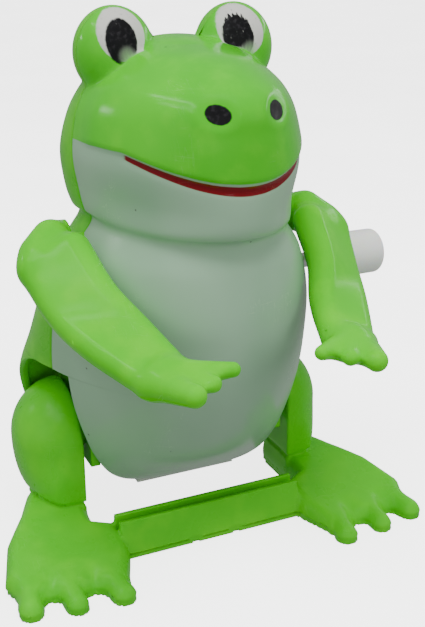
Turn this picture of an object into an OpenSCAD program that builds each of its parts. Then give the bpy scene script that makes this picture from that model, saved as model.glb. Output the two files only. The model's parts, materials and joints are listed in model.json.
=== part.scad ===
// Wind-up jumping frog: a two-part moulded body round a clockwork motor that kicks a one-piece leg frame.
// Frame: +Z up, the frog looks along -Y, +X is its left. The origin is the middle of the crossbar's underside.

/* [Body] */
// Wall thickness of the shells
wall = 1.5; // [1.2:0.1:1.6]
// Radius of each eye bump, across the head
eye_r = 5.7; // [5.5:0.1:6]

/* [Leg frame] */
// Height of the crossbar between the feet
bar_h = 5.6; // [5:0.1:6]
// Thickness of the sole
sole_t = 2.5; // [2:0.1:3]
// Distance of each thigh's inner face from the middle
thigh_in = 17.6; // [17.5:0.1:18]

/* [Motor] */
// Diameter of the winding knob
knob_d = 7.4; // [7:0.1:8.4]
// Length of the winding knob
knob_len = 11; // [10:0.1:13]
// Tooth module of the gear train
gear_m = 0.5; // [0.49:0.01:0.5]
// Width of the mainspring's strip
spring_w = 4.4; // [3.5:0.1:4.5]
// Number of turns of the mainspring
spring_turns = 7; // [5:1:8]

/* [Hidden] */
$fn = 48;

green = "limegreen";
white = "whitesmoke";
steel = "silver";
amber = "burlywood";

// ---- the axes of everything that turns, all along X, as [y, z] ----
seam_y = 11.3;       // the plane where the shells part
arbor_at = [seam_y, 38.5];
shoulder_at = [seam_y, 45.8];
hip_at = [14, 16];
run = 0.05;          // radial clearance of a running fit
gap = 0.3;           // gap between pieces that pass each other

// ---- gear train ----
pressure = 25;       // pressure angle
addendum = 0.8;      // tooth above the pitch circle, in modules
dedendum = 1.1;      // tooth below the pitch circle, in modules
backlash = 0.1;      // thinning of a tooth on the pitch circle
mesh_gap = 0.06;     // added to each centre distance
great_teeth = 34;
pinion_teeth = 10;
second_teeth = 28;
cam_teeth = 24;
function pitch_r(n) = gear_m * n / 2;
function tip_r(n) = pitch_r(n) + addendum * gear_m;
function centres(a, b) = pitch_r(a) + pitch_r(b) + mesh_gap;
function polar(r, a) = r * [cos(a), sin(a)];
to_second = 262;     // direction of each next axis, from +Y towards +Z
to_cam = -34.7;
to_escape = 24;
to_pallet = 83;
pallet_reach = 6.5;
second_at = arbor_at + polar(centres(great_teeth, pinion_teeth), to_second);
cam_at = second_at + polar(centres(second_teeth, cam_teeth), to_cam);
escape_at = second_at + polar(centres(second_teeth, pinion_teeth), to_escape);
pallet_at = escape_at + polar(pallet_reach, to_pallet);

// places along X
case_w = 8.4;        // half width of the motor case
plate = 1.3;         // thickness of its side plates
great_x = [0.4, 2.1];
second_x = [-1.5, -0.3];
escape_x = [-3.4, -2.4];
spring_x = 2.4;
crank_x = case_w + gap;
crank_t = 1.2;
throw = 3.6;
crank_pin_end = 11.3;
hub_x = crank_pin_end + gap;
knob_x = 24.3;
arbor_r = 1.2;
shaft_r = 1;
small_r = 0.8;
thin_r = 0.6;
hip_r = 1.2;

// ---- body outline, one ring for each height, from the rim to just under the crown ----
// height, half width at the seam, swell of the back half, pinch of the front half, front, back, squareness
outline = [
    [ 7.0, 12.1, 3.2,  0.6,   7.5, 26.0, 3.0],
    [ 8.5, 14.4, 4.7,  0.8,   5.0, 28.3, 2.6],
    [11.0, 16.5, 6.2,  1.2,   1.6, 30.5, 2.2],
    [16.0, 18.7, 7.6,  2.1,  -4.0, 32.5, 2.0],
    [23.0, 20.5, 6.3,  3.0,  -8.8, 33.2, 2.0],
    [30.0, 20.8, 3.5,  2.7, -11.2, 32.5, 2.0],
    [38.0, 19.7, 1.9,  1.3, -11.6, 30.0, 2.0],
    [45.0, 16.7, 1.4, -0.2, -10.8, 27.0, 2.0],
    [49.3, 13.7, 1.7, -0.5,  -9.6, 24.8, 2.0],
    [51.0, 14.7, 2.0,  0.4, -11.8, 24.6, 2.0],
    [54.0, 15.4, 2.3,  1.0, -12.4, 25.0, 2.0],
    [59.0, 16.1, 2.0,  0.5, -12.4, 25.2, 2.0],
    [64.0, 15.5, 1.1,  0.8, -12.2, 24.8, 2.0],
    [67.5, 14.1, 0.4,  1.0, -11.6, 23.6, 2.0],
    [70.6, 11.8, 0.0,  1.1,  -8.3, 21.8, 2.0],
    [72.8,  8.9, 0.0,  0.7,  -2.8, 19.4, 2.0],
    [74.0,  5.6, 0.0,  0.3,   4.6, 16.2, 2.0]];
crown_z = 74.4;
ring_steps = 2;      // rings drawn for each one listed
side_steps = 20;     // columns across each shell
eye_at = [9.2, 12, 72.6];
eye_radii = [eye_r, 5.6, 6.3];
head_core = [0, seam_y, 60];
dome_z = 64;         // the head starts to close over above this height

last_ring = len(outline) - 1;
function ring(i) = outline[max(0, min(last_ring, i))];
function spline(a, b, c, d, t) =
    b + t * ((c - a) / 2 + t * ((2 * a - 5 * b + 4 * c - d) / 2 + t * (3 * b - a - 3 * c + d) / 2));
function ring_at(k) = let (i = floor(k), t = k - i) spline(ring(i - 1), ring(i), ring(i + 1), ring(i + 2), t);
function sink(z, t) = t * max(0, (z - dome_z) / (crown_z - dome_z));
function inset(r, t) = [r[0] - sink(r[0], t), r[1] - t, r[2], r[3], r[4] + t, r[5] - t, r[6]];
function power(v, p) = sign(v) * pow(abs(v), p);
function section(r, a) = let (c = power(cos(a), 2 / r[6]), s = power(sin(a), 2 / r[6]))
    [r[1] * c + (s > 0 ? r[2] : r[3]) * sin(2 * a), seam_y + s * (s < 0 ? seam_y - r[4] : r[5] - seam_y), r[0]];

// how far along d, starting at p, a ray leaves the ellipsoid round c
function way_out(p, d, c, radii) =
    let (o = [for (i = [0:2]) (p[i] - c[i]) / radii[i]], e = [for (i = [0:2]) d[i] / radii[i]],
         a = e * e, b = o * e, root = b * b - a * (o * o - 1))
    root < 0 ? 0 : (sqrt(root) - b) / a;
function with_eyes(p, t) =
    let (d = p - head_core, half = [abs(d[0]), d[1], d[2]])
    p[2] < dome_z ? p
        : head_core + d * max(1, way_out(head_core, half, eye_at, [for (r = eye_radii) r - t]));

function skin(turn, t) = [for (k = [0:last_ring * ring_steps], j = [0:side_steps])
    with_eyes(section(inset(ring_at(k / ring_steps), t), turn + 180 * j / side_steps), t)];
columns = side_steps + 1;
rows = last_ring * ring_steps + 1;
inner = rows * columns;
crown = 2 * inner;
top_row = (rows - 1) * columns;
skin_faces = concat(
    [for (k = [0:rows - 2], j = [0:side_steps - 1]) let (a = k * columns + j)
        each [[a, a + columns, a + columns + 1, a + 1],
              [inner + a, inner + a + 1, inner + a + columns + 1, inner + a + columns]]],
    [for (j = [0:side_steps - 1]) [j, j + 1, inner + j + 1, inner + j]],
    [for (k = [0:rows - 2]) let (a = k * columns, b = a + side_steps)
        each [[a + columns, a, inner + a, inner + a + columns],
              [b, b + columns, inner + b + columns, inner + b]]],
    [for (j = [top_row:top_row + side_steps - 1])
        each [[j, crown, j + 1], [inner + j, inner + j + 1, crown + 1]]],
    [[crown, top_row, inner + top_row, crown + 1],
     [top_row + side_steps, crown, crown + 1, inner + top_row + side_steps]]);

// the back half of the body as a solid
solid_faces = concat(
    [for (k = [0:rows - 2], j = [0:side_steps - 1]) let (a = k * columns + j)
        [a, a + columns, a + columns + 1, a + 1]],
    [for (k = [0:rows - 2]) let (a = k * columns, b = a + side_steps) [a, b, b + columns, a + columns]],
    [[for (j = [0:side_steps]) j], [top_row, top_row + side_steps, inner]],
    [for (j = [top_row:top_row + side_steps - 1]) [j, inner, j + 1]]);
module back_solid(t)
    polyhedron(concat(skin(0, t), [[0, seam_y, crown_z - t]]), solid_faces);

// a shell with an even wall; turn is 0 for the back half and 180 for the front half
module half_shell(turn)
    polyhedron(concat(skin(turn, 0), skin(turn, wall), [[0, seam_y, crown_z], [0, seam_y, crown_z - wall]]),
        skin_faces);

// ---- helpers ----
module along_x(x0, x1, at = [0, 0])
    translate([x0, at[0], at[1]]) rotate([90, 0, 90]) linear_extrude(x1 - x0) children();
module rod(x0, x1, at, r)
    along_x(x0, x1, at) circle(r);
module rod_y(y0, y1, x, z, r)
    translate([x, y0, z]) rotate([-90, 0, 0]) cylinder(h = y1 - y0, r = r);
module both_sides() {
    children();
    mirror([1, 0, 0]) children();
}

// ---- shells ----
head_post = [9, 62];     // x and z of the posts that join the shells
body_post = [14.2, 32];
post_r = 2;
post_pin_r = 1.1;
post_pin_len = 4;
lug_t = 1.5;             // thickness of the motor's lugs, held between the body posts
notch_r = 11.2;
notch_front = 7.6;
notch_in = 10;
rim_t = 1.2;             // wall round each thigh's recess
rim_sunk = 0.2;          // how far that wall stays below the shell's skin
recess_x = [15, 16.4];   // the flat bottom of the recess
recess_low = 9;

module notch_outline(extra) {
    translate(hip_at) circle(notch_r + extra);
    translate(hip_at - [notch_r + extra, hip_at[1]]) square([2 * (notch_r + extra), hip_at[1]]);
}
// a recess that the thigh lies in, with a hole for the leg's hub
module recess() {
    along_x(recess_x[0], recess_x[1]) difference() {
        intersection() {
            notch_outline(rim_t / 2);
            translate([notch_front + gap, recess_low]) square(40);
        }
        translate(hip_at) circle(hub_r + gap);
    }
    intersection() {
        back_solid(rim_sunk);
        along_x(recess_x[0] + run, 30) difference() {
            intersection() {
                notch_outline(rim_t);
                translate([seam_y + run, recess_low]) square(40);
            }
            notch_outline(run);
        }
    }
}

// the openings at the sides for the thighs, the shoulder pegs and the winding shaft
module shell_openings() {
    both_sides() {
        along_x(notch_in, 30) intersection() {
            notch_outline(0);
            translate([notch_front, 0]) square(40);
        }
        rod(12.5, 20, shoulder_at, peg_r + run);
    }
    rod(14, 24, arbor_at, arbor_r + gap);
}

module front_shell() color(white) difference() {
    union() {
        half_shell(180);
        both_sides() {
            rod_y(-3.6, seam_y, head_post[0], head_post[1], post_r);
            rod_y(1, seam_y - lug_t / 2, body_post[0], body_post[1], post_r);
        }
    }
    shell_openings();
    both_sides() for (p = [head_post, body_post])
        rod_y(seam_y - post_pin_len - 1, seam_y + 1, p[0], p[1], post_pin_r + run);
}

module back_shell() color(green) {
    difference() {
        union() {
            half_shell(0);
            both_sides() {
                rod_y(seam_y, 21.2, head_post[0], head_post[1], post_r);
                rod_y(seam_y + lug_t / 2, 27.6, body_post[0], body_post[1], post_r);
                for (p = [head_post, body_post])
                    rod_y(seam_y - post_pin_len, seam_y + post_pin_len, p[0], p[1], post_pin_r);
            }
        }
        shell_openings();
    }
    both_sides() recess();
}

// ---- arms ----
peg_r = 1.75;
peg_head_r = 2.3;
arm_x = 17.5;            // inner face of the shoulder

module blob(p, r) translate(p) sphere(r, $fn = 20);

// middles of the rounded inner and outer edges, from the shoulder to the wrist
inner_edge = [[18.6, 4.5, 47.2], [17.1, -2.3, 42.8], [14.2, -8.2, 38.9], [12, -15, 36]];
outer_edge = [[23.6, 5.7, 44.4], [22, -0.5, 40], [19.8, -6.7, 37.5], [15.8, -15.5, 35]];
edge_r = [2.5, 2.3, 2.2, 2];

module arm() {
    hull() {
        rod(arm_x, arm_x + 1, [11, 47], 2.8, $fn = 32);
        blob([20.4, 9, 48], 2.6);
        blob([22.8, 8, 46.4], 2.4);
        blob(inner_edge[0], edge_r[0]);
        blob(outer_edge[0], edge_r[0]);
    }
    for (i = [0:2]) hull() {
        blob(inner_edge[i], edge_r[i]);
        blob(outer_edge[i], edge_r[i]);
        blob(inner_edge[i + 1], edge_r[i + 1]);
        blob(outer_edge[i + 1], edge_r[i + 1]);
    }
    hull() {
        blob(inner_edge[3], edge_r[3]);
        blob(outer_edge[3], edge_r[3]);
        blob([15.8, -20.8, 34.8], 1.5);
        blob([12.8, -24.6, 36.6], 1.3);
    }
    hull() {
        blob(inner_edge[3], edge_r[3]);
        blob([11.4, -20, 36.4], 1.4);
        blob([6, -20.9, 37.4], 1.2);
    }
    rod(11.2, 12.4, shoulder_at, peg_head_r);
    rod(12.3, arm_x + 1, shoulder_at, peg_r);
}
module arm_left() color(green) arm();
module arm_right() color(green) mirror([1, 0, 0]) arm();

// ---- leg frame: crossbar, feet and thighs in one moulding ----
bar_front = -2.7;
bar_back = 2.7;
heel_y = 16;
toes = [[18.1, -12.7], [24.8, -12.1], [31.8, -10.6]];
thigh_radii = [8.6, 9.8, 8.8];
thigh_drop = 15;          // the thigh's lower half is drawn down, to stay broad above the foot
thigh_middle = [17, 13.6];
thigh_front = 7.4;
thigh_reach = 10;         // the thigh keeps within this distance of the hip, to swing clear of the rump
hub_r = 3.4;
tail_t = 1.5;
tail_tip = [20, 22.6];

module foot() {
    linear_extrude(sole_t) {
        polygon([[13.4, bar_front], [15.8, -9], [16.6, -12.2], [19.8, -12.4], [20.6, -9.8], [22.3, -9.2],
                 [23.4, -11.6], [26.4, -11.8], [27.2, -9.4], [28.8, -8.8], [30.2, -10.2], [33.1, -9.8],
                 [33.6, -3], [31, 4], [27.4, 10], [25.4, heel_y - 1], [23.6, heel_y], [thigh_in, heel_y],
                 [thigh_in, 4], [14.5, bar_back]]);
        for (t = toes)
            translate([t[0], t[1] + 1.7]) circle(1.7);
    }
    // the instep rises from the toes to the ankle
    polyhedron(
        [[15.5, -8, 1], [32.6, -8, 1], [26.6, 11, 1], [thigh_in, 11, 1],
         [16.5, -8, sole_t], [31.8, -8, sole_t], [25.4, 11, 5], [thigh_in, 11, 5.4],
         [17.2, 3, 6], [26.6, 3, 5]],
        [[0, 1, 2, 3], [0, 4, 5, 1], [1, 5, 9, 6, 2], [2, 6, 7, 3], [3, 7, 8, 4, 0],
         [4, 8, 9, 5], [8, 7, 6, 9]]);
}

module half_egg(height, low) intersection() {
    scale([thigh_radii[0], thigh_radii[1], height]) sphere(1);
    translate([-20, -20, low]) cube(40);
}

module thigh() {
    intersection() {
        translate([thigh_in, thigh_middle[0], thigh_middle[1]]) union() {
            half_egg(thigh_radii[2], 0);
            half_egg(thigh_drop, -40);
        }
        translate([thigh_in, thigh_front, 1]) cube([20, 40, 40]);
        union() {
            rod(thigh_in - 1, thigh_in + 20, hip_at, thigh_reach);
            translate([thigh_in - 1, 0, 0]) cube([20, heel_y, hip_at[1]]);
        }
    }
    rod(hub_x, thigh_in + 1, hip_at, hub_r);
    along_x(hub_x, hub_x + tail_t) difference() {
        polygon([hip_at + [-1, hub_r], tail_tip + [-2, 0], tail_tip, hip_at + [hub_r, -1], hip_at]);
        translate(hip_at) circle(hip_r + run);
    }
}

module leg_frame() color(green) {
    along_x(-15, 15)
        polygon([[bar_front, 0], [bar_back, 0], [bar_back - 0.3, bar_h], [1.6, bar_h], [1.4, 1.6],
                 [0.2, 1.6], [0.4, bar_h - 0.3], [-0.6, bar_h]]);
    difference() {
        both_sides() {
            foot();
            thigh();
        }
        both_sides() rod(hub_x - 1, thigh_in - gap, hip_at, hip_r + run);
    }
}

module hip_pin_left() color(steel) rod(5.4, thigh_in - 2 * gap, hip_at, hip_r);
module hip_pin_right() color(steel) mirror([1, 0, 0]) hip_pin_left();

// a coil of round wire along X, as one closed tube
coil_wire = 0.25;
coil_r = hip_r + run + coil_wire + 0.1;
coil_turns = 4;
coil_per_turn = 14;
coil_sides = 6;
module hip_spring() {
    steps = coil_turns * coil_per_turn;
    pitch = (hub_x - case_w - 2 * coil_wire - 0.2) / coil_turns;
    points = [for (k = [0:steps], j = [0:coil_sides - 1])
        let (a = 360 * k / coil_per_turn, b = 360 * j / coil_sides, r = coil_r + coil_wire * cos(b))
        [case_w + 0.1 + coil_wire + pitch * k / coil_per_turn + coil_wire * sin(b),
         hip_at[0] + r * cos(a), hip_at[1] + r * sin(a)]];
    sides = [for (k = [0:steps - 1], j = [0:coil_sides - 1])
        let (a = k * coil_sides + j, b = k * coil_sides + (j + 1) % coil_sides)
        [a, a + coil_sides, b + coil_sides, b]];
    ends = [[for (j = [0:coil_sides - 1]) j], [for (j = [coil_sides - 1:-1:0]) steps * coil_sides + j]];
    polyhedron(points, concat(sides, ends));
}
module hip_spring_left() color(steel) hip_spring();
module hip_spring_right() color(steel) mirror([1, 0, 0]) hip_spring();

// ---- motor case ----
case_room = 0.6;         // room round each wheel
case_wall = 1.2;
boss_r = 2.4;
hook_r = 8.9;            // distance of the mainspring's outer hook from the arbor
hook_angle = 150;

module case_outline(extra) {
    translate(arbor_at) circle(tip_r(great_teeth) + case_room + extra);
    translate(second_at) circle(tip_r(second_teeth) + case_room + extra);
    translate(cam_at) circle(tip_r(cam_teeth) + case_room + extra);
    translate(escape_at) circle(6.2 + extra);
    translate(pallet_at) circle(4.6 + extra);
}

module case_half(right) {
    difference() {
        union() {
            along_x(0, case_w) {
                case_outline(case_wall);
                translate([9.6, 5.6]) square([9.6, 16]);
            }
            translate([case_w - 2, seam_y - lug_t / 2, body_post[1] - 2.5]) cube([11.2, lug_t, 5]);
        }
        along_x(-1, case_w - plate) {
            case_outline(0);
            translate([9.6 + case_wall, 5.6 + case_wall]) square([7.2, 15]);
        }
        rod(0, 10, arbor_at, (right ? shaft_r : arbor_r) + run);
        rod(0, 10, second_at, small_r + run);
        rod(0, 10, cam_at, shaft_r + run);
        rod(0, 10, escape_at, thin_r + run);
        rod(0, 10, hip_at, hip_r);
        if (right)
            rod(0, 10, pallet_at, thin_r);
        rod_y(seam_y - 2, seam_y + 2, body_post[0], body_post[1], post_pin_r + run);
    }
    difference() {
        rod(5.4, case_w - plate + 0.1, hip_at, boss_r);
        rod(5, 10, hip_at, hip_r);
    }
    if (!right)
        rod(spring_x, case_w - plate + 0.1, arbor_at + polar(hook_r, hook_angle), 0.5);
}
module motor_case_left() color(white) case_half(false);
module motor_case_right() color(white) mirror([1, 0, 0]) case_half(true);

// ---- gears ----
flank_steps = 4;
function involute(a) = tan(a) * 180 / PI - a;
function half_tooth(n, r) =
    let (base = pitch_r(n) * cos(pressure),
         at_pitch = (PI * gear_m / 2 - backlash) / 2 / pitch_r(n) * 180 / PI)
    at_pitch + involute(pressure) - (r > base ? involute(acos(base / r)) : 0);
module gear_outline(n, start) {
    low = pitch_r(n) - dedendum * gear_m;
    base = max(low, pitch_r(n) * cos(pressure));
    flank = concat([low], [for (i = [0:flank_steps]) base + (tip_r(n) - base) * i / flank_steps + 0.001]);
    last = len(flank) - 1;
    polygon([for (t = [0:n - 1], s = [-1, 1], i = [0:last])
        let (r = flank[s < 0 ? i : last - i])
        polar(r, start + 360 * t / n + s * half_tooth(n, r))]);
}
// the angle of a follower's tooth, given the driver's, so that the pair meshes
function meshed(driver, driver_start, follower, way) =
    way + 180 + 180 / follower - (driver_start - way) * driver / follower;
module gear(n, x, at, start, bore)
    along_x(x[0], x[1], at) difference() {
        gear_outline(n, start);
        circle(bore);
    }

module great_wheel() color(amber) gear(great_teeth, great_x, arbor_at, to_second, arbor_r);
module second_wheel() color(amber) {
    gear(second_teeth, second_x, second_at, to_cam, small_r);
    gear(pinion_teeth, [second_x[1], great_x[1] + 0.2], second_at,
        meshed(great_teeth, to_second, pinion_teeth, to_second), small_r);
}
module cam_wheel() color(amber)
    gear(cam_teeth, second_x, cam_at, meshed(second_teeth, to_cam, cam_teeth, to_cam), shaft_r);

escape_teeth = 12;
escape_tip = 4.4;
escape_root = 3.4;
module escape_wheel() color(amber) {
    along_x(escape_x[0], escape_x[1], escape_at) difference() {
        polygon([for (i = [0:escape_teeth - 1], p = [[escape_tip, 0], [escape_root, 4]])
            polar(p[0], 360 * i / escape_teeth + p[1])]);
        circle(thin_r);
    }
    gear(pinion_teeth, [escape_x[1], 0], escape_at,
        meshed(second_teeth, to_cam, pinion_teeth, to_escape), thin_r);
}

pallet_spread = 38;
pallet_tip = 5.4;
module pallet() color(amber) along_x(escape_x[0], escape_x[1], escape_at) {
    middle = polar(pallet_reach, to_pallet);
    difference() {
        union() {
            translate(middle) circle(1.3);
            for (s = [-1, 1]) {
                arm = polar(pallet_tip, to_pallet + s * pallet_spread) - middle;
                translate(middle) rotate(atan2(arm[1], arm[0])) {
                    translate([0, -0.4]) square([norm(arm), 0.8]);
                    translate([norm(arm), 0]) circle(0.5);
                }
            }
        }
        translate(middle) circle(thin_r + run);
    }
}
module pallet_pin() color(steel) rod(-case_w, escape_x[1] + 0.5, pallet_at, thin_r);

// ---- arbors, cranks, knob and mainspring ----
arbor_end = case_w - 0.1;
module winding_arbor() color(steel) {
    rod(-arbor_end, -case_w + plate + 0.2, arbor_at, shaft_r);
    rod(-case_w + plate + 0.2, knob_x + knob_len - 3.5, arbor_at, arbor_r);
}
module second_arbor() color(steel) rod(-arbor_end, arbor_end, second_at, small_r);
module escape_arbor() color(steel) rod(-arbor_end, arbor_end, escape_at, thin_r);
module cam_shaft() color(steel) rod(-crank_x - crank_t, crank_x + crank_t, cam_at, shaft_r);

module crank(way) {
    along_x(crank_x, crank_x + crank_t, cam_at) difference() {
        rotate(way) {
            circle(2);
            translate([throw, 0]) circle(1.2);
            translate([0, -1.2]) square([throw, 2.4]);
        }
        circle(shaft_r);
    }
    rod(crank_x + crank_t, crank_pin_end, cam_at + polar(throw, way), small_r);
}
crank_way = -90;
module crank_left() color(steel) crank(crank_way);
module crank_right() color(steel) mirror([1, 0, 0]) crank(crank_way);

knob_edge = 0.8;
module winding_knob() color(white) difference() {
    translate([knob_x, arbor_at[0], arbor_at[1]]) rotate([0, 90, 0]) rotate_extrude()
        polygon(concat([[0, 0], [knob_d / 2 - 0.3, 0], [knob_d / 2, 0.3]],
            [for (a = [0:15:90]) [knob_d / 2 - knob_edge, knob_len - knob_edge] + polar(knob_edge, a)],
            [[0, knob_len]]));
    rod(knob_x - 1, knob_x + knob_len - 3.5, arbor_at, arbor_r);
}

spring_in = arbor_r + 0.3;
spring_out = 8.3;
spring_t = 0.25;
spring_steps = 24;       // points on each turn
module mainspring() color(steel) {
    last = spring_turns * spring_steps;
    along_x(spring_x, spring_x + spring_w, arbor_at)
        polygon([for (s = [0, 1], i = [0:last])
            let (k = s == 0 ? i : last - i, r = spring_in + (spring_out - spring_in) * k / last)
            polar(r + s * spring_t, hook_angle + 10 + 360 * (k - last) / spring_steps)]);
}

front_shell();
back_shell();
arm_left();
arm_right();
leg_frame();
motor_case_left();
motor_case_right();
mainspring();
winding_arbor();
great_wheel();
winding_knob();
second_wheel();
second_arbor();
cam_wheel();
cam_shaft();
crank_left();
crank_right();
escape_wheel();
escape_arbor();
pallet();
pallet_pin();
hip_pin_left();
hip_pin_right();
hip_spring_left();
hip_spring_right();
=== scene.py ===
# Wind-up jumping frog. All lengths in this script are in millimetres until a mesh is made.
import math
import json

import bpy
import numpy as np
from mathutils import Matrix, Vector


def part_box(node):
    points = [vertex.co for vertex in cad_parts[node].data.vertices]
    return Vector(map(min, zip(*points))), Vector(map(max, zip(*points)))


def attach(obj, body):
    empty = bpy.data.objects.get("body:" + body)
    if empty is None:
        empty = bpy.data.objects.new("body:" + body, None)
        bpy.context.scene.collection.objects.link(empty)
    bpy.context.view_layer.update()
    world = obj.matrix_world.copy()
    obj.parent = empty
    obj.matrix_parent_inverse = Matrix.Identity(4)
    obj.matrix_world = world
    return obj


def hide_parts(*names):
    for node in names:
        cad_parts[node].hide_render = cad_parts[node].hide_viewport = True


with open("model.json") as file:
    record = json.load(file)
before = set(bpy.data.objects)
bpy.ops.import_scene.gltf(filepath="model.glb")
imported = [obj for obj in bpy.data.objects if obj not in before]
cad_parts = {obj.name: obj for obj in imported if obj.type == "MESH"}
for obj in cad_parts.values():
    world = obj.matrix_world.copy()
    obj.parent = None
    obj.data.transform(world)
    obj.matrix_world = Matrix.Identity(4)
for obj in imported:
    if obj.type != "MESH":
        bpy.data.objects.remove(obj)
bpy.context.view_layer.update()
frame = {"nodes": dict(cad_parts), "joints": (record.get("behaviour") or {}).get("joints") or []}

MM = 0.001


def cad(node):
    """The lowest and highest corner of a CAD node, in millimetres."""
    return [np.array(corner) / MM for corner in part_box(node)]


def joint_at(name):
    """Where a joint's axis crosses its body, in millimetres."""
    joint = next(j for j in frame["joints"] if j["name"] == name)
    return np.array(joint["pos_m"]) / MM


# ---- driving sizes, read from the frame where the frame holds them ----
SEAM = joint_at("left_shoulder")[1]
SHOULDER = joint_at("left_shoulder")
HIP = joint_at("hip")
ARBOR = joint_at("knob_turn")
WALL = 1.5
HUB_X, THIGH_IN = 11.6, 17.6
NOTCH_R, NOTCH_FRONT = 11.2, 7.6
NOTCH_TOP = HIP[2] + NOTCH_R - 0.05
CROWN = 74.8
GRID = 0.36


# ---- camera ----
CAMERA_AT = (-57.05, -124.9, 88.2)
CAMERA_AZIMUTH, CAMERA_ELEVATION = -24.7, 20.63
CAMERA_LENS = 58.2


def add_camera():
    azimuth, elevation = math.radians(CAMERA_AZIMUTH), math.radians(CAMERA_ELEVATION)
    back = Vector((math.sin(azimuth) * math.cos(elevation), -math.cos(azimuth) * math.cos(elevation),
                   math.sin(elevation)))
    camera = bpy.data.objects.new("camera", bpy.data.cameras.new("camera"))
    camera.location = Vector(CAMERA_AT) * MM
    camera.rotation_mode = "QUATERNION"
    camera.rotation_quaternion = (-back).to_track_quat("-Z", "Y")
    camera.data.lens = CAMERA_LENS
    camera.data.sensor_width = 36
    camera.data.clip_start = 0.01
    bpy.context.scene.collection.objects.link(camera)
    bpy.context.scene.camera = camera


# ---- node graphs ----
class Socket:
    """A node's output that takes part in sums."""

    def __init__(self, graph, link):
        self.graph, self.link = graph, link

    def maths(self, operation, *others):
        inputs = {0: self, **{i + 1: other for i, other in enumerate(others)}}
        return self.graph.node("ShaderNodeMath", {"operation": operation}, inputs)

    def __add__(self, other):
        return self.maths("ADD", other)

    def __sub__(self, other):
        return self.maths("SUBTRACT", other)

    def __mul__(self, other):
        return self.maths("MULTIPLY", other)

    def __truediv__(self, other):
        return self.maths("DIVIDE", other)

    def __rsub__(self, other):
        return self.graph.node("ShaderNodeMath", {"operation": "SUBTRACT"}, {0: other, 1: self})

    __radd__, __rmul__ = __add__, __mul__

    def __abs__(self):
        return self.maths("ABSOLUTE")

    def least(self, other):
        return self.maths("MINIMUM", other)

    def most(self, other):
        return self.maths("MAXIMUM", other)

    def rise(self, low, high):
        """0 below low, 1 above high, and a smooth step between."""
        return self.graph.node("ShaderNodeMapRange", {"interpolation_type": "SMOOTHSTEP"},
                               {"Value": self, "From Min": low, "From Max": high})

    def fall(self, low, high):
        return 1 - self.rise(low, high)


class Graph:
    """One material's nodes."""

    def __init__(self, name):
        self.material = bpy.data.materials.new(name)
        self.material.use_nodes = True
        self.tree = self.material.node_tree
        self.shader = self.tree.nodes["Principled BSDF"]

    def node(self, kind, settings=None, inputs=None, output=0):
        made = self.tree.nodes.new(kind)
        for key, value in (settings or {}).items():
            setattr(made, key, value)
        for key, value in (inputs or {}).items():
            self.feed(made.inputs[key], value)
        return Socket(self, made.outputs[output])

    def feed(self, socket, value):
        if isinstance(value, Socket):
            self.tree.links.new(value.link, socket)
        else:
            socket.default_value = value

    def finish(self, **inputs):
        for key, value in inputs.items():
            self.feed(self.shader.inputs[key.replace("_", " ")], value)
        return self.material

    # patterns on object coordinates, in millimetres
    def place(self):
        coordinates = self.node("ShaderNodeTexCoord", output=3)
        return self.node("ShaderNodeVectorMath", {"operation": "SCALE"}, {0: coordinates, "Scale": 1 / MM})

    def axes(self, place):
        parts = self.node("ShaderNodeSeparateXYZ", inputs={0: place}).link.node
        return [Socket(self, output) for output in parts.outputs]

    def noise(self, place, size, detail=3.0, stretch=(1, 1, 1), roughness=0.5):
        """Noise whose features are about size millimetres across."""
        scale = [s / size for s in stretch]
        scaled = self.node("ShaderNodeMapping", inputs={"Vector": place, "Scale": scale})
        return self.node("ShaderNodeTexNoise", inputs={"Vector": scaled, "Scale": 1.0, "Detail": detail,
                                                       "Roughness": roughness})

    def mix(self, factor, low, high):
        """A colour between two colours."""
        mixed = self.node("ShaderNodeMix", {"data_type": "RGBA"}, {0: factor}, output=2)
        sockets = mixed.link.node.inputs
        self.feed(sockets[6], low)
        self.feed(sockets[7], high)
        return mixed

    def bump(self, height, strength=0.3, distance=0.1):
        return self.node("ShaderNodeBump", inputs={"Strength": strength, "Distance": distance * MM,
                                                   "Height": height})


def rgb(red, green, blue):
    return (red, green, blue, 1.0)


FLOOR_GLOW = 4.0
LEAF = rgb(0.085, 0.62, 0.012)
LEAF_DEEP = rgb(0.06, 0.54, 0.008)
LEAF_PALE = rgb(0.13, 0.70, 0.015)
MILK = rgb(0.33, 0.52, 0.36)
MILK_COOL = rgb(0.28, 0.48, 0.31)
SHELL_GREENS = rgb(0.16, 0.66, 0.03), rgb(0.11, 0.58, 0.02), rgb(0.07, 0.50, 0.01)
LIMB_GREENS = rgb(0.16, 0.76, 0.006), rgb(0.105, 0.68, 0.006), rgb(0.08, 0.60, 0.005)
LEG_GREENS = rgb(0.15, 0.72, 0.012), rgb(0.10, 0.64, 0.010), rgb(0.07, 0.54, 0.008)
KNOB_WHITES = rgb(0.95, 0.96, 0.92), rgb(0.92, 0.94, 0.90), rgb(0.86, 0.89, 0.85)


def specks(graph, place, size, amount):
    """Scattered dust pits: 1 in a few small spots."""
    spots = graph.node("ShaderNodeTexVoronoi", {"feature": "F1"}, {"Vector": place, "Scale": 1 / size})
    pick = graph.noise(place, size * 1.7, 1.0)
    return spots.fall(0.03, 0.09) * pick.rise(1 - amount, 1 - amount + 0.02)


def scratches(graph, place, size):
    """Fine hair scratches that cross each other."""
    first = graph.noise(place, size, 2.0, (14, 1, 1.2))
    second = graph.noise(place, size * 1.3, 2.0, (1, 1.4, 17))
    return abs(first - 0.5).fall(0.0, 0.012) + abs(second - 0.5).fall(0.0, 0.010)


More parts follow.
